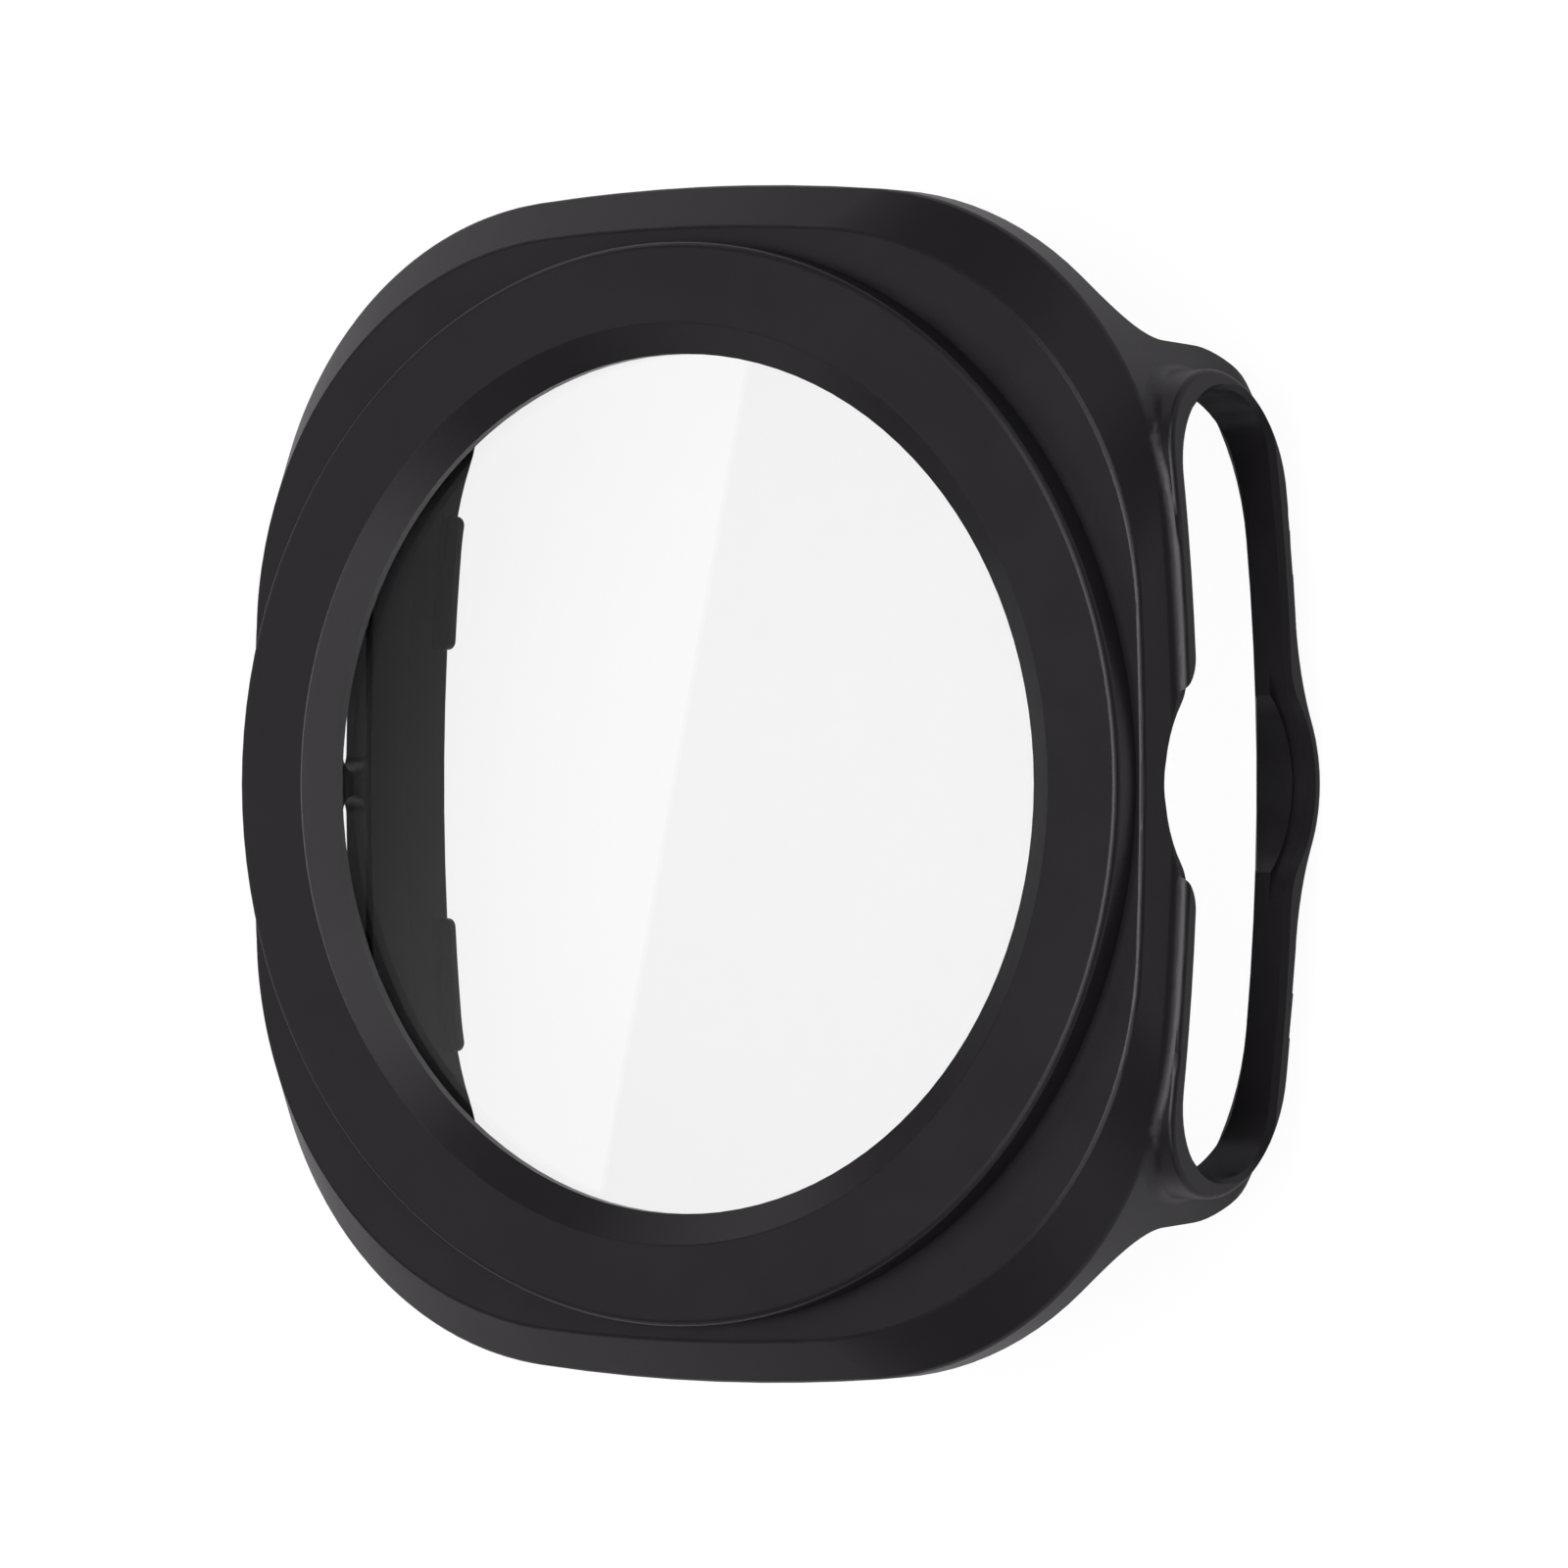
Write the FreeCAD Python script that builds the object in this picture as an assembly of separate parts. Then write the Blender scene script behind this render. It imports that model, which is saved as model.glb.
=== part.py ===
import FreeCAD, Part
import math
import os

Vector = FreeCAD.Vector

# Push-on screen protector for a 47 mm cushion-shaped smartwatch, lying on its back rim.
# +Z points out through the glass, +Y to 12 o'clock and +X to the buttons at 3 o'clock.
# The origin is on the glass axis, in the plane of the back rim. All lengths are in mm.

# Plan outline of the body: four long arcs joined by four corner arcs, longer than wide
body_half_width = 23.82
body_end_extra = 1.42
body_side_radius = 106.0
body_end_radius = 98.0
body_corner_radius = 15.95

# Flat front face inside a sloping band; the face has arcs of its own
band_width_side = 0.72
band_width_end = 1.80
band_drop = 1.72
face_side_radius = 156.0
face_end_radius = 101.0
face_corner_radius = 17.1
face_edge_fillet = 0.25
band_edge_fillet = 0.30

# Walls and the space for the watch
wall = 1.2
face_thickness = 1.2
bezel_margin = 1.02

# Raised ring round the glass, with a bevel down to the opening
ring_height = 1.36
ring_wall = 1.17
ring_edge_fillet = 0.28
bevel_width = 1.29
bevel_depth = 0.87
bevel_edge_fillet = 0.12
opening_margin = 3.52
opening_land = 0.40

# Tempered glass, and the adhesive ring that bonds it under the lip of the opening
glass_thickness = 0.50
glass_overlap = 2.32
glass_edge_chamfer = 0.12
adhesive_thickness = 0.15
adhesive_inset = 0.50
adhesive_margin = 0.40

# Guard round the buttons: a raised frame with a curved rim on the right wall
button_drop = 7.335
guard_proud = 0.46
guard_curve_radius = 112.0
guard_end_margin = 8.14
guard_half_height = 4.295
guard_front_radius = 3.78
guard_back_radius = 4.78
guard_bulge_radius = 5.845
guard_blend_radius = 10.0
guard_root = 5.0
guard_edge_fillet = 0.22
guard_foot_fillet = 0.60
guard_to_back = 0.10

# Mouth of the guard: a slot with a round hole for the middle button, chamfered at the rim.
# The front half of the hole flares out to the side wall, and a little more to the rim.
rim_width = 0.66
rim_width_at_end = 0.60
mouth_front_radius = 3.90
mouth_back_radius = 2.75
mouth_bulge_radius = 5.37
mouth_blend_radius = 2.45
mouth_chamfer = 0.25
mouth_blend_depth = 0.68
round_hole_radius = 5.00
round_hole_blend_radius = 1.60
hole_flare_depth = 0.28
hole_flare_growth = 0.75
hole_flare_growth_at_rim = 0.82
hole_flare_blend_radius = 1.60

# Side tongues that reach the back of the watch, with a strap gap at 12 and 6 o'clock
front_wall_depth = 4.70
tongue_past_guard = 1.40
tongue_draft = 0.50
gap_top_fillet = 2.60
tongue_corner_fillet = 4.20
back_edge_fillet = 1.80

# Lips at the back of the tongues; their depths are measured inwards from the inner wall
lip_edge_step = 0.14
left_lip_height = 3.93
left_crease_height = 2.18
left_crease_depth = 0.60
left_edge_height = 0.55
left_lip_depth = 1.06
right_lip_height = 2.45
right_crease_height = 1.10
right_crease_depth = 0.90
right_edge_height = 0.30
right_lip_depth = 1.59

# Snap tabs on the edge of the left lip
tab_to_tongue_end = 6.65
tab_length = 5.90
tab_reach = 0.44
tab_root = 0.20
tab_height = 0.42
tab_fillet = 0.40

# Two sound slots in the left wall, in a shallow flat pocket
vent_width = 1.65
vent_length = 8.00
vent_bridge = 1.00
vent_above_lip = 0.24
pocket_depth = 0.10
pocket_half_length = 9.00
pocket_height = 4.20

# How far a cutting shape runs past the surface that it cuts, how near counts as equal, and
# how near counts as lying on a curved surface
overrun = 2.0
tolerance = 0.0001
surface_tolerance = 0.005

# Directions, signs and the share for the middle of a length
along_x = Vector(1, 0, 0)
along_y = Vector(0, 1, 0)
along_z = Vector(0, 0, 1)
signs = (1, -1)
front_side, back_side = signs
quadrants = ((1, 1), (-1, 1), (-1, -1), (1, -1))
half_share = 0.5
half_turn = 180

# Heights, radii and places that follow from the sizes above
body_half_height = body_half_width + body_end_extra
guard_half_length = body_half_height - guard_end_margin
button_height = guard_bulge_radius + guard_to_back
total_height = button_height + button_drop
face_height = total_height - ring_height
band_foot = face_height - band_drop
cavity_height = face_height - face_thickness
lip_underside = total_height - bevel_depth - opening_land
adhesive_underside = lip_underside - adhesive_thickness
glass_underside = adhesive_underside - glass_thickness
inner_half_width = body_half_width - wall
recess_radius = inner_half_width - bezel_margin
ring_radius = recess_radius + ring_wall
opening_radius = recess_radius - opening_margin
glass_radius = opening_radius + glass_overlap
bevel_radius = opening_radius + bevel_width
front_wall_end = total_height - front_wall_depth
tongue_half_length = guard_half_length + tongue_past_guard
guard_reach = body_half_width + guard_proud
guard_start = guard_reach - guard_root
flare_start = guard_reach - mouth_chamfer
hole_flare_start = body_half_width - hole_flare_depth
vent_floor = left_lip_height + vent_above_lip
far = max(body_half_width, body_half_height) + overrun


def grown(outline, distance):
    """The parallel outline at a distance outside this one, or inside it where negative."""
    return tuple(size + distance for size in outline)


body = (body_half_width, body_half_height, body_side_radius, body_end_radius, body_corner_radius)
inner = grown(body, -wall)
face = (body_half_width - band_width_side, body_half_height - band_width_end,
        face_side_radius, face_end_radius, face_corner_radius)

# Outlines in the guard: half length, half height, front and back corner, bulge and blend radius
guard = (guard_half_length, guard_half_height, guard_front_radius, guard_back_radius,
         guard_bulge_radius, guard_blend_radius)
mouth = (guard_half_length - rim_width_at_end, guard_half_height - rim_width,
         mouth_front_radius, mouth_back_radius, mouth_bulge_radius, mouth_blend_radius)
throat = tuple(size - mouth_chamfer for size in mouth[:-1]) + (mouth_blend_radius + mouth_chamfer,)
hole_at_throat = throat[:-2] + (round_hole_radius, round_hole_blend_radius)
hole_at_wall = mouth[:-2] + (round_hole_radius + hole_flare_growth, hole_flare_blend_radius)
hole_at_rim = mouth[:-2] + (round_hole_radius + hole_flare_growth_at_rim, hole_flare_blend_radius)


def arc_centres(outline):
    """Centres of the side arc, the end arc and the corner arc that joins them smoothly."""
    half_width, half_height, side_radius, end_radius, corner_radius = outline
    side_centre = Vector(half_width - side_radius, 0, 0)
    end_centre = Vector(0, half_height - end_radius, 0)
    from_side = side_radius - corner_radius
    from_end = end_radius - corner_radius
    between = end_centre - side_centre
    span = between.Length
    along = ((from_side - from_end) * (from_side + from_end) / span + span) * half_share
    across = math.sqrt((from_side - along) * (from_side + along))
    unit = between / span
    corner = side_centre + unit * along + Vector(-unit.y, unit.x, 0) * across
    return side_centre, end_centre, corner


def closed_wire(curves):
    """Closed wire through curves given in any order."""
    ordered, = Part.sortEdges([curve.toShape() for curve in curves])
    return Part.Wire(ordered)


def cushion_wire(outline, height):
    """Closed wire of eight tangent arcs at one height."""
    half_width, half_height, side_radius, end_radius, corner_radius = outline
    side_centre, end_centre, corner = arc_centres(outline)
    to_side = (corner - side_centre).normalize()
    to_end = (corner - end_centre).normalize()
    side_join = side_centre + to_side * side_radius
    end_join = end_centre + to_end * end_radius
    corner_middle = corner + (to_side + to_end).normalize() * corner_radius
    side_middle = Vector(half_width, 0, 0)
    end_middle = Vector(0, half_height, 0)

    def placed(point, sign_x, sign_y):
        return Vector(point.x * sign_x, point.y * sign_y, height)

    curves = []
    for sign_x, sign_y in quadrants:
        curves.append(Part.Arc(placed(side_join, sign_x, sign_y), placed(corner_middle, sign_x, sign_y),
                               placed(end_join, sign_x, sign_y)))
    for sign in signs:
        curves.append(Part.Arc(placed(side_join, sign, sign), placed(side_middle, sign, sign),
                               placed(side_join, sign, -sign)))
        curves.append(Part.Arc(placed(end_join, sign, sign), placed(end_middle, sign, sign),
                               placed(end_join, -sign, sign)))
    return closed_wire(curves)


def cushion_prism(outline, bottom, top):
    """Upright solid on a cushion outline."""
    return Part.Face(cushion_wire(outline, bottom)).extrude(Vector(0, 0, top - bottom))


def cushion_taper(outline, sections):
    """Solid through outlines parallel to this one, given as (height, distance outside it)."""
    wires = [cushion_wire(grown(outline, distance), height) for height, distance in sections]
    return Part.makeLoft(wires, True, True)


def disc(radius, bottom, top):
    """Upright round solid on the glass axis."""
    return Part.makeCylinder(radius, top - bottom, Vector(0, 0, bottom))


def block(x_range, y_range, z_range):
    """Box between two limits on each axis."""
    low, high = [Vector(*limits) for limits in zip(x_range, y_range, z_range)]
    size = high - low
    return Part.makeBox(size.x, size.y, size.z, low)


def profile_wire(corners):
    """Closed wire in the YZ plane through corners given as (y, z, fillet radius)."""
    points = [Vector(0, y, z) for y, z, radius in corners]
    radii = [radius for y, z, radius in corners]
    curves = []
    leaving = []
    arriving = []
    neighbours = zip(points, points[-1:] + points[:-1], points[1:] + points[:1])
    for radius, (point, before, after) in zip(radii, neighbours):
        to_before = (before - point).normalize()
        to_after = (after - point).normalize()
        half_angle = to_before.getAngle(to_after) * half_share
        inwards = (to_before + to_after).normalize()
        reach = radius / math.tan(half_angle)
        arriving.append(point + to_before * reach)
        leaving.append(point + to_after * reach)
        if radius:
            summit = point + inwards * (radius / math.sin(half_angle) - radius)
            curves.append(Part.Arc(arriving[-1], summit, leaving[-1]))
    for start, end in zip(leaving, arriving[1:] + arriving[:1]):
        if (end - start).Length > tolerance:
            curves.append(Part.LineSegment(start, end))
    return closed_wire(curves)


def profile_prism(corners, start, end):
    """Solid along X on a profile in the YZ plane."""
    outline = Part.Face(profile_wire(corners))
    outline.translate(Vector(start, 0, 0))
    return outline.extrude(Vector(end - start, 0, 0))


def rounded(solid, radius, chosen):
    """The solid with a fillet on every edge that the test chooses."""
    return solid.makeFillet(radius, [edge for edge in solid.Edges if chosen(edge)])


def samples(edge):
    """Both ends and the middle of an edge."""
    half_way = edge.FirstParameter + (edge.LastParameter - edge.FirstParameter) * half_share
    return [edge.valueAt(place) for place in (edge.FirstParameter, half_way, edge.LastParameter)]


def middle(edge):
    """Point half way along an edge."""
    start, centre, end = samples(edge)
    return centre


def near(value, wanted):
    """Whether two lengths are equal within the tolerance."""
    return abs(value - wanted) < tolerance


def at_height(height):
    """Test for edges that lie wholly at one height."""
    return lambda edge: all(near(point.z, height) for point in samples(edge))


def circle_at(radius, height):
    """Test for edges on the circle of this radius about the glass axis."""
    return lambda edge: all(near(point.z, height) and near(math.hypot(point.x, point.y), radius)
                            for point in samples(edge))


def body_block():
    """Outer form below the ring: a cushion with a sloping band round its flat face."""
    outlines = [cushion_wire(body, 0), cushion_wire(body, band_foot), cushion_wire(face, face_height)]
    solid = Part.makeLoft(outlines, True, True)
    solid = rounded(solid, band_edge_fillet, at_height(band_foot))
    solid = rounded(solid, face_edge_fillet, at_height(face_height))
    return rounded(solid, back_edge_fillet, at_height(0))


def on_rim(reach):
    """Test for edges on the curved rim of the guard, or on one parallel to it."""
    axis_x = guard_reach - guard_curve_radius
    radius = reach - axis_x
    return lambda edge: all(near(math.hypot(point.x - axis_x, point.y), radius) for point in samples(edge))


def rim_cylinder(reach):
    """Upright cylinder whose side is the curved rim of the guard, or one parallel to it."""
    axis_x = guard_reach - guard_curve_radius
    cylinder = Part.makeCylinder(reach - axis_x, total_height + overrun, Vector(axis_x, 0, -overrun))
    cylinder.rotate(Vector(axis_x, 0, 0), along_z, half_turn)
    return cylinder


def guard_wire(outline, bulging):
    """Closed wire of an outline of the guard, with a bulge on each side that is named."""
    length, height, front_radius, back_radius, bulge, blend = outline
    blend_centre = Vector(0, math.sqrt((bulge - height) * (bulge + height + blend + blend)), height + blend)
    meeting = Vector(blend_centre).normalize() * bulge
    flat_start = blend_centre - along_z * blend
    inwards = (meeting - blend_centre).normalize() + (flat_start - blend_centre).normalize()
    blend_middle = blend_centre + inwards.normalize() * blend

    def spots(sign_y, sign_z, *points):
        return [Vector(0, point.y * sign_y, button_height + point.z * sign_z) for point in points]

    curves = []
    line_ends = []
    for sign_z, corner_radius in ((front_side, front_radius), (back_side, back_radius)):
        corner_centre = Vector(0, length - corner_radius, height - corner_radius)
        corner_side = corner_centre + along_y * corner_radius
        corner_middle = corner_centre + (along_y + along_z).normalize() * corner_radius
        corner_flat = corner_centre + along_z * corner_radius
        line_ends.append((sign_z, corner_side))
        for sign_y in signs:
            curves.append(Part.Arc(*spots(sign_y, sign_z, corner_side, corner_middle, corner_flat)))
            if sign_z in bulging:
                curves.append(Part.Arc(*spots(sign_y, sign_z, flat_start, blend_middle, meeting)))
                curves.append(Part.LineSegment(*spots(sign_y, sign_z, corner_flat, flat_start)))
        if sign_z in bulging:
            summit = along_z * bulge
            across = Vector(0, -meeting.y, meeting.z)
            curves.append(Part.Arc(*spots(1, sign_z, meeting, summit, across)))
        else:
            across = Vector(0, -corner_flat.y, corner_flat.z)
            curves.append(Part.LineSegment(*spots(1, sign_z, corner_flat, across)))
    for sign_y in signs:
        ends = [spots(sign_y, sign_z, point)[0] for sign_z, point in line_ends]
        curves.append(Part.LineSegment(*ends))
    return closed_wire(curves)


def guard_prism(outline, bulging, start, end):
    """Solid along X on an outline of the guard."""
    base = Part.Face(guard_wire(outline, bulging))
    base.translate(along_x * start)
    return base.extrude(along_x * (end - start))


def at_guard_end(edge):
    """Whether an edge is where a rounded end of the guard meets the corner of the body."""
    side_centre, end_centre, corner = arc_centres(body)
    points = samples(edge)
    distances = [math.hypot(point.x - corner.x, abs(point.y) - corner.y) for point in points]
    on_corner = all(abs(distance - body_corner_radius) < surface_tolerance for distance in distances)
    reaches = [abs(point.y) for point in points]
    nearest = guard_half_length - guard_back_radius
    within = nearest < min(reaches) and max(reaches) < guard_half_length + tolerance
    return on_corner and within and middle(edge).x > guard_start


def guard_block():
    """The guard round the buttons before its mouth is cut."""
    solid = guard_prism(guard, (back_side,), guard_start, guard_reach + overrun)
    solid = solid.common(rim_cylinder(guard_reach))
    return rounded(solid, guard_edge_fillet, on_rim(guard_reach))


def button_slot():
    """Cutting shape for the slot and the plain round hole, through the whole side wall."""
    start = guard_start - overrun
    slot = guard_prism(hole_at_throat, (front_side,), start, guard_reach)
    centre = Vector(start, 0, button_height)
    hole = Part.makeCylinder(round_hole_radius, hole_flare_start - start, centre, along_x)
    return slot.common(rim_cylinder(flare_start)).fuse(hole)


def hole_flare():
    """Cutting shape that flares the front half of the round hole, and the slot beside it."""
    sections = ((hole_at_throat, hole_flare_start), (hole_at_wall, body_half_width),
                (hole_at_rim, guard_reach))
    wires = [guard_wire(outline, (front_side,)) for outline, place in sections]
    for wire, (outline, place) in zip(wires, sections):
        wire.translate(along_x * place)
    flare = Part.makeLoft(wires, True, True)
    return flare.common(block((guard_start, far), (-far, far), (button_height, total_height)))


def mouth_tool():
    """Cutting shape for the outer part of the slot, flared where it leaves through the rim."""
    inside = guard_prism(throat, (back_side,), guard_start, guard_reach + overrun)
    inside = inside.cut(rim_cylinder(flare_start - mouth_blend_depth)).common(rim_cylinder(flare_start))
    outside = guard_prism(mouth, (back_side,), guard_start, guard_reach + overrun)
    outside = outside.cut(rim_cylinder(guard_reach))
    starts_flare = on_rim(flare_start)
    ends_flare = on_rim(guard_reach)
    first_edges = [edge for edge in inside.Edges if starts_flare(edge)]
    last_edges = [edge for edge in outside.Edges if ends_flare(edge)]
    faces = [face for face in inside.Faces if not all(starts_flare(edge) for edge in face.Edges)]
    faces += [face for face in outside.Faces if not all(ends_flare(edge) for edge in face.Edges)]
    for edge in first_edges:
        partner = min(last_edges, key=lambda other: (middle(other) - middle(edge)).Length)
        faces.append(Part.makeRuledSurface(edge, partner))
    shell = Part.makeShell(faces)
    shell.sewShape()
    return Part.makeSolid(shell)


def side_profile():
    """What is kept, seen along X: the front wall all round, and the side tongues down to the back."""
    lean = tongue_draft / front_wall_end
    corners = [(-far, total_height + overrun, 0), (-far, front_wall_end, 0),
               (-tongue_half_length, front_wall_end, gap_top_fillet),
               (-tongue_half_length + tongue_draft, 0, tongue_corner_fillet),
               (tongue_half_length - tongue_draft, 0, tongue_corner_fillet),
               (tongue_half_length, front_wall_end, gap_top_fillet),
               (far, front_wall_end, 0), (far, total_height + overrun, 0)]
    return profile_prism(corners, -far, far)


def lip_half(x_range, edge, crease, top):
    """Half of the space for the watch, narrowed at the back by a lip along the side wall."""
    edge_height, depth = edge
    crease_height, crease_depth = crease
    sections = [(-overrun, -depth), (0, -depth), (edge_height, lip_edge_step - depth),
                (crease_height, -crease_depth), (top, 0), (cavity_height, 0)]
    return cushion_taper(inner, sections).common(block(x_range, (-far, far), (-overrun, total_height)))


def watch_space():
    """Space for the watch: the cavity between the walls, and the round recess for its bezel."""
    left = lip_half((-far, 0), (left_edge_height, left_lip_depth),
                    (left_crease_height, left_crease_depth), left_lip_height)
    right = lip_half((0, far), (right_edge_height, right_lip_depth),
                     (right_crease_height, right_crease_depth), right_lip_height)
    return left.fuse(right).fuse(disc(recess_radius, left_lip_height, lip_underside))


def ring():
    """Raised ring round the glass, with a rounded outer edge."""
    solid = disc(ring_radius, cavity_height, total_height)
    return rounded(solid, ring_edge_fillet, circle_at(ring_radius, total_height))


def glass_opening():
    """Cutting shape for the opening and the bevel that leads down to it."""
    hole = disc(opening_radius, cavity_height, total_height)
    bevel_foot = Vector(0, 0, total_height - bevel_depth)
    bevel = Part.makeCone(opening_radius, bevel_radius, bevel_depth, bevel_foot)
    return hole.fuse(bevel)


def vent(sign):
    """Cutting shape for one of the two sound slots in the left wall."""
    near_end = sign * vent_bridge * half_share
    far_end = near_end + sign * vent_length
    radius = vent_width * half_share
    corners = [(near_end, vent_floor, radius), (far_end, vent_floor, radius),
               (far_end, vent_floor + vent_width, radius), (near_end, vent_floor + vent_width, radius)]
    return profile_prism(corners, -far, -inner_half_width + overrun)


def tab_range(sign):
    """Limits in Y of one of the two snap tabs."""
    far_end = tongue_half_length - tab_to_tongue_end
    return sorted((sign * far_end, sign * (far_end - tab_length)))


def tab_notch(sign):
    """Cutting shape for the step in the lip above a snap tab."""
    room = cushion_prism(grown(inner, tab_root - left_lip_depth), tab_height, left_crease_height)
    return room.common(block((-far, 0), tab_range(sign), (tab_height, left_crease_height)))


def snap_tab(sign):
    """Small tab on the edge of the left lip that snaps behind the back of the watch."""
    reach = left_lip_depth + tab_reach
    strip = cushion_prism(grown(inner, tab_root - left_lip_depth), 0, tab_height)
    strip = strip.cut(cushion_prism(grown(inner, -reach), -overrun, total_height))
    strip = strip.common(block((-far, 0), tab_range(sign), (0, tab_height)))
    inner_corners = [max(point.Point.x for point in strip.Vertexes if near(point.Point.y, limit))
                     for limit in tab_range(sign)]

    def at_inner_end(edge):
        start, centre, end = samples(edge)
        upright = near(start.x, end.x) and near(start.y, end.y)
        return upright and any(near(start.x, place) for place in inner_corners)

    return rounded(strip, tab_fillet, at_inner_end)


def bumper_frame():
    """The whole moulding: face, ring, walls, button guard, side tongues, lips and tabs."""
    solid = body_block().fuse(guard_block()).fuse(ring())
    solid = solid.common(side_profile())
    solid = rounded(solid, guard_foot_fillet, at_guard_end)
    solid = solid.cut(watch_space())
    solid = solid.cut(button_slot()).cut(mouth_tool()).cut(hole_flare())
    solid = solid.cut(glass_opening())
    solid = rounded(solid, bevel_edge_fillet, circle_at(bevel_radius, total_height))
    pocket_floor = -inner_half_width - pocket_depth
    pocket_top = left_lip_height + pocket_height
    pocket = block((pocket_floor, 0), (-pocket_half_length, pocket_half_length),
                   (left_lip_height, pocket_top))
    solid = solid.cut(pocket)
    for sign in signs:
        solid = solid.cut(vent(sign)).cut(tab_notch(sign))
        solid = solid.fuse(snap_tab(sign))
    return solid.removeSplitter()


def glass_lens():
    """Flat round sheet of tempered glass with a small chamfer on both edges."""
    solid = disc(glass_radius, glass_underside, adhesive_underside)
    edges = [edge for edge in solid.Edges if circle_at(glass_radius, glass_underside)(edge)
             or circle_at(glass_radius, adhesive_underside)(edge)]
    return solid.makeChamfer(glass_edge_chamfer, edges)


def adhesive_ring():
    """Thin ring that bonds the rim of the glass under the lip of the opening."""
    outer = disc(glass_radius - adhesive_inset, adhesive_underside, lip_underside)
    return outer.cut(disc(opening_radius + adhesive_margin, cavity_height, total_height))


pieces = {
    "bumper_frame": bumper_frame,
    "glass_lens": glass_lens,
    "adhesive_ring": adhesive_ring,
}

os.makedirs("parts", exist_ok=True)
for name, make in pieces.items():
    shape = make()
    shape.exportStep("parts/" + name + ".step")
    print(name, "solids:", len(shape.Solids), "valid:", shape.isValid(), "mm3:", round(shape.Volume))
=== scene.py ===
import math

import bpy
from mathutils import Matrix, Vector


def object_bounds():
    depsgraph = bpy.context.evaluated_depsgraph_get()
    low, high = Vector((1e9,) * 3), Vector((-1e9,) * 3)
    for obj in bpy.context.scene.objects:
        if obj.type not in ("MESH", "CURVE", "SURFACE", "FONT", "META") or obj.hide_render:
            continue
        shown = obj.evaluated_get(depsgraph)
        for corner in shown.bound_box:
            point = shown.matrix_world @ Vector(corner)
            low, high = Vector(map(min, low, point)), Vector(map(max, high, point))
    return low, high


# Looks of the push-on bumper: black satin plastic, clear glass, white studio.
# Lengths are in metres. The part lies on its back rim on the floor, with its glass up.

MM = 0.001

# Camera of the photograph: it looks down at the glass, leaning over from the button side
PHOTO_PIXELS = 1600
FOCAL_PIXELS = 9880
SENSOR_WIDTH_MM = 36.0
CAMERA_TILT = math.radians(35.3)
CAMERA_DISTANCE = 406.4 * MM
CAMERA_SIDESTEP = 5.03 * MM

CLIP_START = 0.01
CLIP_END = 20.0

# Satin black plastic of the bumper, and the duller film of the adhesive
SATIN_COLOUR = (0.0122, 0.0108, 0.0126)
SATIN_ROUGHNESS = 0.33
SATIN_GRAIN = 0.12 * MM
FILM_COLOUR = (0.012, 0.012, 0.012)
FILM_ROUGHNESS = 0.6
FILM_GRAIN = 0.3 * MM

# Both black materials: unevenness of their colour and gloss, with the size of its spots
PLASTIC_IOR = 1.5
PLASTIC_SPECULAR = 0.35
COLOUR_SPREAD = 0.1
COLOUR_SPOTS = 6 * MM
COLOUR_DETAIL = 3.0
GLOSS_SPREAD = 0.02
GLOSS_SPOTS = 3 * MM
GLOSS_DETAIL = 4.0
GRAIN_STRENGTH = 0.35
GRAIN_HEIGHT = 0.01 * MM
GRAIN_DETAIL = 2.0

# Tempered glass, with the uneven smear on its surface
GLASS_IOR = 1.5
GLASS_COLOUR = (0.97, 0.97, 0.97, 1.0)
SMEAR_ROUGHNESS = 0.012
SMEAR_SPOTS = 9 * MM
SMEAR_DETAIL = 3.0

# Part of the noise's range that is spread over a wanted range
NOISE_LOW = 0.3
NOISE_HIGH = 0.7

# White floor: its matt colour, its glow, and the glow's shares for seen and reflected rays
FLOOR_HALF = 3.0
FLOOR_GAP = 0.02 * MM
FLOOR_COLOUR = (0.60, 0.60, 0.60, 1.0)
FLOOR_GLOW = 1.10
FLOOR_GLOW_SEEN = 0.87
FLOOR_GLOW_REFLECTED = 0.02
WHITE = (1.0, 1.0, 1.0, 1.0)

# Soft square lights that face the part: azimuth and elevation in degrees, watts and colour
WORLD_LIGHT = 0.10
LIGHT_DISTANCE = 0.80
LIGHT_SIZE = 0.42
LIGHTS = {
    "overhead": (0, 90, 3.2, (1.0, 0.97, 1.0)),
    "right": (0, 60, 0.6, (1.0, 0.96, 1.0)),
    "right_rear": (60, 52, 1.0, (1.0, 0.95, 1.0)),
    "right_front": (-60, 52, 0.9, (1.0, 0.95, 1.0)),
    "left": (180, 35, 0.36, (0.98, 0.93, 1.0)),
    "left_rear": (135, 12, 0.46, (0.95, 0.90, 1.0)),
    "left_front": (225, 12, 0.28, (0.93, 0.88, 1.0)),
    "low_rear": (60, 8, 0.35, (0.78, 0.82, 1.0)),
    "low_front": (-60, 8, 0.35, (0.78, 0.82, 1.0)),
}

# Panel whose straight edge shows as the slanted glare line on the glass
PANEL_HEIGHT = 0.30
PANEL_EDGE_TOP = (-0.21208, 0.03335)
PANEL_EDGE_BOTTOM = (-0.22652, -0.03299)
PANEL_WIDTH = 0.045
PANEL_LENGTH = 0.16
PANEL_GLOW = 0.75


def node(tree, kind, **values):
    """A new shader node with its plain sockets set."""
    made = tree.nodes.new(kind)
    for name, value in values.items():
        made.inputs[name.replace("_", " ")].default_value = value
    return made


def new_material(name):
    """An empty node material with its tree, its output and a texture position in metres."""
    material = bpy.data.materials.new(name)
    material.use_nodes = True
    tree = material.node_tree
    tree.nodes.clear()
    output = tree.nodes.new("ShaderNodeOutputMaterial")
    position = tree.nodes.new("ShaderNodeTexCoord").outputs["Object"]
    return material, tree, output, position


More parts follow.
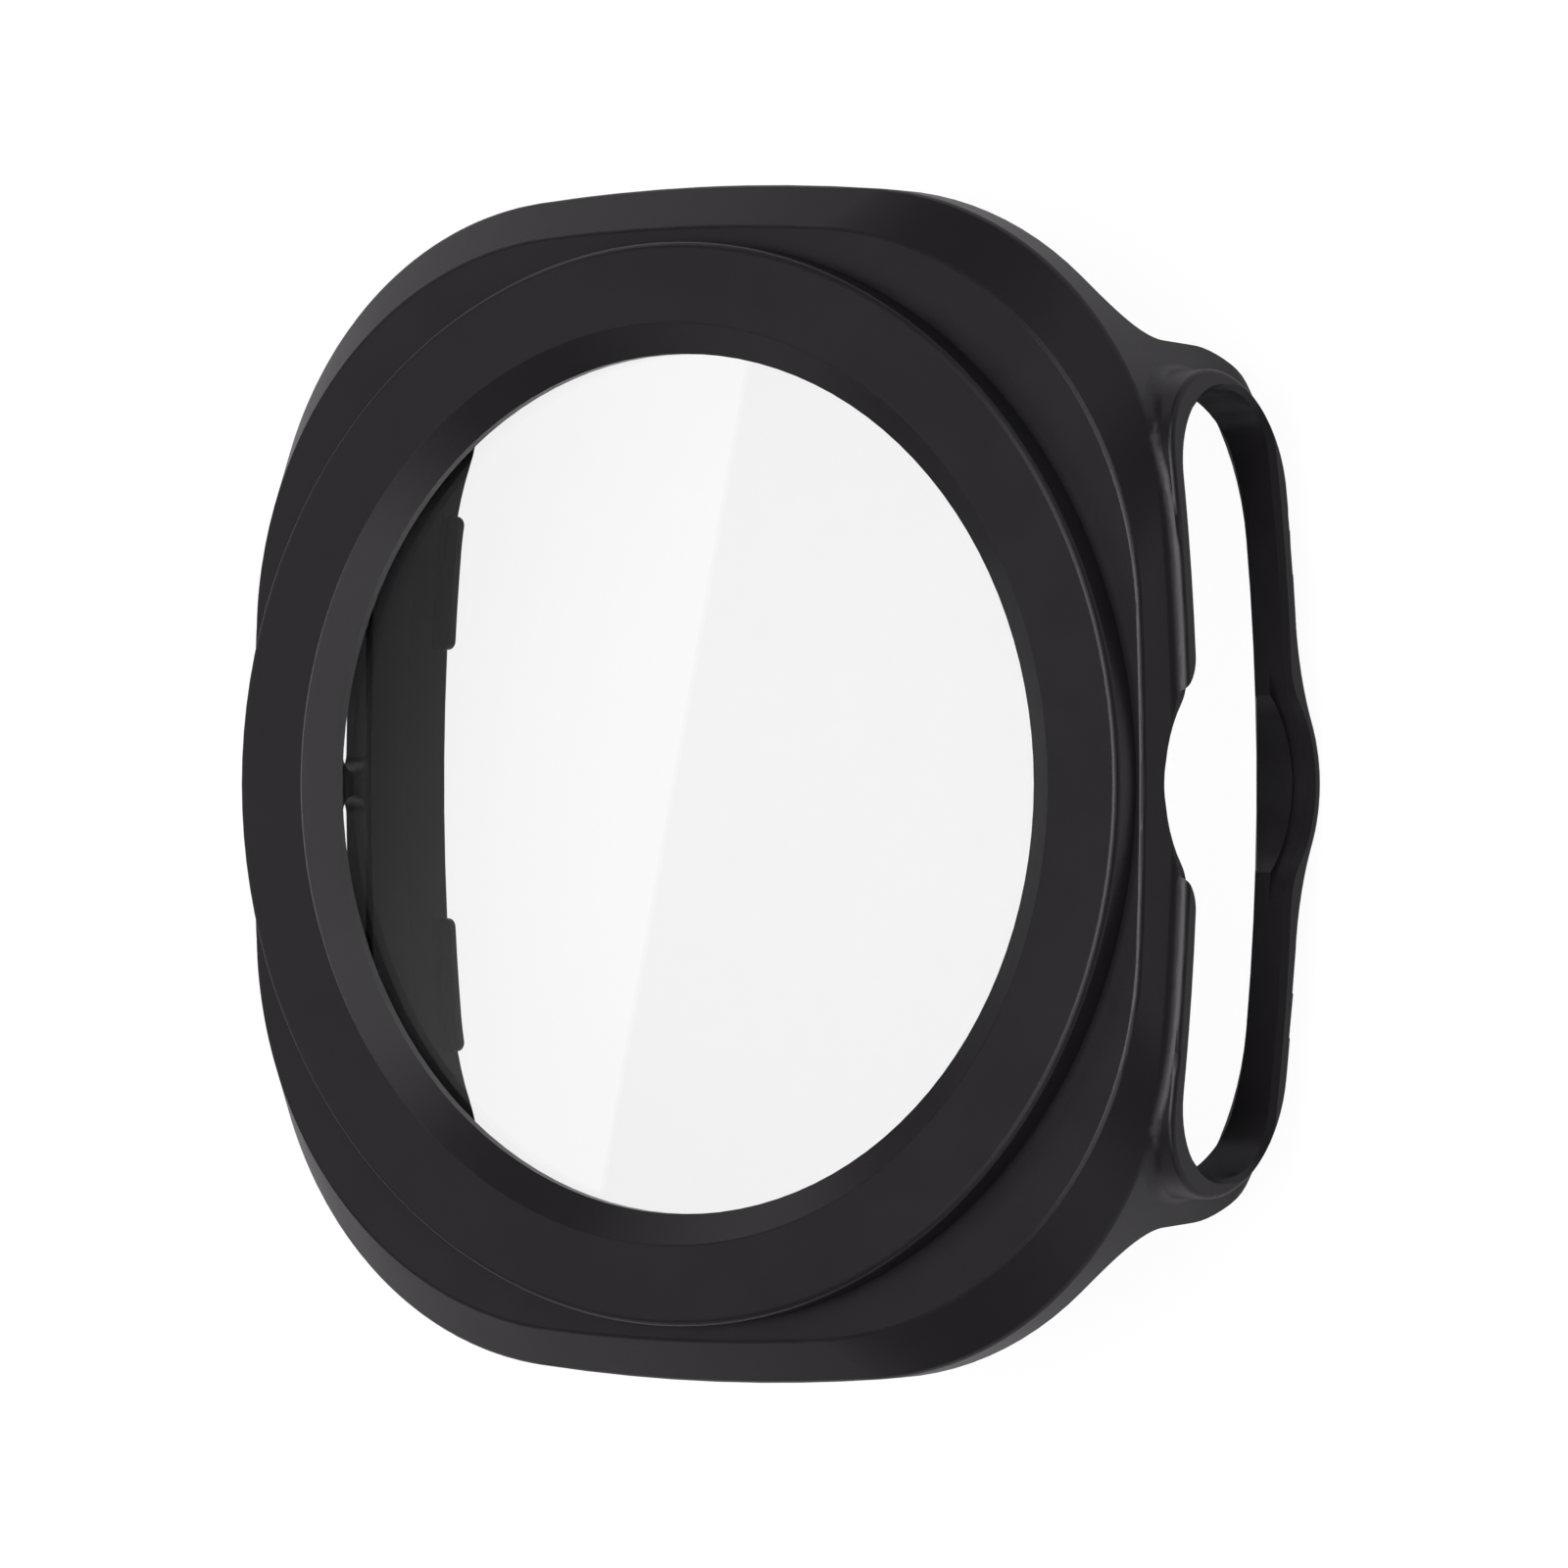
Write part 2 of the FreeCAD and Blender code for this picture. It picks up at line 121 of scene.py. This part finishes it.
def noise(tree, position, size, detail):
    """Noise whose spots are about one size across, in metres."""
    made = node(tree, "ShaderNodeTexNoise", Scale=1.0 / size, Detail=detail)
    tree.links.new(position, made.inputs["Vector"])
    return made.outputs["Fac"]


def mapped(tree, value, low, high):
    """A noise value spread over a range."""
    made = node(tree, "ShaderNodeMapRange", From_Min=NOISE_LOW, From_Max=NOISE_HIGH, To_Min=low, To_Max=high)
    tree.links.new(value, made.inputs["Value"])
    return made.outputs["Result"]


def plastic(name, colour, roughness, grain):
    """Satin moulded plastic: one deep colour, fine grain and slightly uneven gloss."""
    material, tree, output, position = new_material(name)
    shader = node(tree, "ShaderNodeBsdfPrincipled", IOR=PLASTIC_IOR, Specular_IOR_Level=PLASTIC_SPECULAR)
    ramp = tree.nodes.new("ShaderNodeValToRGB")
    for stop, factor in zip(ramp.color_ramp.elements, (1 - COLOUR_SPREAD, 1 + COLOUR_SPREAD)):
        stop.color = (*[part * factor for part in colour], 1.0)
    tree.links.new(noise(tree, position, COLOUR_SPOTS, COLOUR_DETAIL), ramp.inputs["Fac"])
    tree.links.new(ramp.outputs["Color"], shader.inputs["Base Color"])
    gloss = noise(tree, position, GLOSS_SPOTS, GLOSS_DETAIL)
    gloss = mapped(tree, gloss, roughness - GLOSS_SPREAD, roughness + GLOSS_SPREAD)
    tree.links.new(gloss, shader.inputs["Roughness"])
    bump = node(tree, "ShaderNodeBump", Strength=GRAIN_STRENGTH, Distance=GRAIN_HEIGHT)
    tree.links.new(noise(tree, position, grain, GRAIN_DETAIL), bump.inputs["Height"])
    tree.links.new(bump.outputs["Normal"], shader.inputs["Normal"])
    tree.links.new(shader.outputs["BSDF"], output.inputs["Surface"])
    return material


def clear_glass(name):
    """Tempered glass with a faint, uneven smear on its surface."""
    material, tree, output, position = new_material(name)
    shader = node(tree, "ShaderNodeBsdfPrincipled", IOR=GLASS_IOR, Base_Color=GLASS_COLOUR)
    shader.inputs["Transmission Weight"].default_value = 1.0
    smear = mapped(tree, noise(tree, position, SMEAR_SPOTS, SMEAR_DETAIL), 0.0, SMEAR_ROUGHNESS)
    tree.links.new(smear, shader.inputs["Roughness"])
    tree.links.new(shader.outputs["BSDF"], output.inputs["Surface"])
    return material


def combined(tree, operation, first, second):
    """Result of a Math node on an output and another output or a number."""
    made = tree.nodes.new("ShaderNodeMath")
    made.operation = operation
    tree.links.new(first, made.inputs[0])
    if isinstance(second, float):
        made.inputs[1].default_value = second
    else:
        tree.links.new(second, made.inputs[1])
    return made.outputs["Value"]


def glow_share(tree):
    """Share of the glow: most for camera and glass rays, very little for gloss, none for light."""
    path = tree.nodes.new("ShaderNodeLightPath")
    seen = combined(tree, "MAXIMUM", path.outputs["Is Camera Ray"], path.outputs["Is Transmission Ray"])
    seen = combined(tree, "MULTIPLY", seen, FLOOR_GLOW_SEEN)
    reflected = combined(tree, "MULTIPLY", path.outputs["Is Glossy Ray"], FLOOR_GLOW_REFLECTED)
    return combined(tree, "MAXIMUM", seen, reflected)


def white_floor():
    """Pale matt floor that reads as white and keeps the part's shadow."""
    material, tree, output, position = new_material("floor_white")
    matt = node(tree, "ShaderNodeBsdfDiffuse", Color=FLOOR_COLOUR)
    glow = node(tree, "ShaderNodeEmission", Color=WHITE, Strength=FLOOR_GLOW)
    mix = tree.nodes.new("ShaderNodeMixShader")
    tree.links.new(glow_share(tree), mix.inputs["Fac"])
    tree.links.new(matt.outputs["BSDF"], mix.inputs[1])
    tree.links.new(glow.outputs["Emission"], mix.inputs[2])
    tree.links.new(mix.outputs["Shader"], output.inputs["Surface"])
    return material


def flat_mesh(name, corners, material):
    """One flat polygon with its material, added to the scene."""
    mesh = bpy.data.meshes.new(name)
    mesh.from_pydata(corners, [], [range(len(corners))])
    mesh.materials.append(material)
    piece = bpy.data.objects.new(name, mesh)
    bpy.context.scene.collection.objects.link(piece)
    return piece


def add_floor(bottom):
    """The floor under the part."""
    height = bottom - FLOOR_GAP
    corners = [(x * FLOOR_HALF, y * FLOOR_HALF, height) for x, y in ((-1, -1), (1, -1), (1, 1), (-1, 1))]
    flat_mesh("floor", corners, white_floor())


def add_glare_panel(top):
    """Small glowing panel above the left side, seen only in reflections, that fades outwards."""
    material, tree, output, position = new_material("panel_glow")
    across = tree.nodes.new("ShaderNodeVectorMath")
    across.operation = "DOT_PRODUCT"
    fade = node(tree, "ShaderNodeMapRange", To_Min=PANEL_GLOW, To_Max=0.0)
    fade.interpolation_type = "SMOOTHSTEP"
    glow = node(tree, "ShaderNodeEmission", Color=WHITE)
    tree.links.new(position, across.inputs[0])
    tree.links.new(across.outputs["Value"], fade.inputs["Value"])
    tree.links.new(fade.outputs["Result"], glow.inputs["Strength"])
    tree.links.new(glow.outputs["Emission"], output.inputs["Surface"])
    upper = Vector((*PANEL_EDGE_TOP, 0))
    lower = Vector((*PANEL_EDGE_BOTTOM, 0))
    along = (upper - lower).normalized()
    centre = (upper + lower) / 2
    outward = Vector((-along.y, along.x, 0))
    lift = Vector((0, 0, top + PANEL_HEIGHT))
    across.inputs[1].default_value = outward
    fade.inputs["From Min"].default_value = centre.dot(outward)
    fade.inputs["From Max"].default_value = centre.dot(outward) + PANEL_WIDTH
    edge = [centre + along * PANEL_LENGTH / 2, centre - along * PANEL_LENGTH / 2]
    corners = edge + [point + outward * PANEL_WIDTH for point in reversed(edge)]
    panel = flat_mesh("glare_panel", [point + lift for point in corners], material)
    panel.visible_camera = False


def add_area_light(name, azimuth, elevation, power, colour):
    """Square soft light that faces the part from a direction in degrees."""
    lamp = bpy.data.lights.new(name, "AREA")
    lamp.shape = "SQUARE"
    lamp.size = LIGHT_SIZE
    lamp.energy = power
    lamp.color = colour
    turn, rise = math.radians(azimuth), math.radians(elevation)
    place = Vector((math.cos(turn) * math.cos(rise), math.sin(turn) * math.cos(rise), math.sin(rise)))
    piece = bpy.data.objects.new(name, lamp)
    piece.location = place * LIGHT_DISTANCE
    piece.rotation_euler = (-place).to_track_quat("-Z", "Y").to_euler()
    bpy.context.scene.collection.objects.link(piece)


def add_world():
    """Plain, dim studio surroundings."""
    world = bpy.data.worlds.new("studio")
    world.use_nodes = True
    tree = world.node_tree
    tree.nodes.clear()
    output = tree.nodes.new("ShaderNodeOutputWorld")
    light = node(tree, "ShaderNodeBackground", Color=WHITE, Strength=WORLD_LIGHT)
    tree.links.new(light.outputs["Background"], output.inputs["Surface"])
    bpy.context.scene.world = world


def add_camera(top):
    """Camera at the photograph's place, aimed along its viewing direction."""
    camera = bpy.data.cameras.new("camera")
    camera.sensor_width = SENSOR_WIDTH_MM
    camera.lens = SENSOR_WIDTH_MM * FOCAL_PIXELS / PHOTO_PIXELS
    camera.clip_start = CLIP_START
    camera.clip_end = CLIP_END
    piece = bpy.data.objects.new("camera", camera)
    back = Vector((math.sin(CAMERA_TILT), 0, math.cos(CAMERA_TILT)))
    right = Vector((math.cos(CAMERA_TILT), 0, -math.sin(CAMERA_TILT)))
    piece.location = Vector((0, 0, top)) + back * CAMERA_DISTANCE + right * CAMERA_SIDESTEP
    piece.rotation_euler = (0, CAMERA_TILT, 0)
    bpy.context.scene.collection.objects.link(piece)
    bpy.context.scene.camera = piece


def dress(node_name, material):
    """Gives a CAD piece its material."""
    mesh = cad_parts[node_name].data
    mesh.materials.clear()
    mesh.materials.append(material)


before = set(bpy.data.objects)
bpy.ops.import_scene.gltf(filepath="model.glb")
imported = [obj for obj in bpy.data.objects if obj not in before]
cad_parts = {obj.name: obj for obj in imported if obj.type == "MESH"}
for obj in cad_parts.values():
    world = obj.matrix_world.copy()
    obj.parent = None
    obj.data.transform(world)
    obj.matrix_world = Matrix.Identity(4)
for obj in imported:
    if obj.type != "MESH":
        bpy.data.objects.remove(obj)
cad_box = [list(corner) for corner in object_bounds()]
bottom, top = cad_box[0][2], cad_box[1][2]

bpy.context.scene.view_settings.view_transform = "Standard"
dress("bumper_frame", plastic("satin_black", SATIN_COLOUR, SATIN_ROUGHNESS, SATIN_GRAIN))
dress("adhesive_ring", plastic("adhesive_black", FILM_COLOUR, FILM_ROUGHNESS, FILM_GRAIN))
dress("glass_lens", clear_glass("tempered_glass"))
add_camera(top)
add_floor(bottom)
add_world()
add_glare_panel(top)
for name, light in LIGHTS.items():
    add_area_light(name, *light)
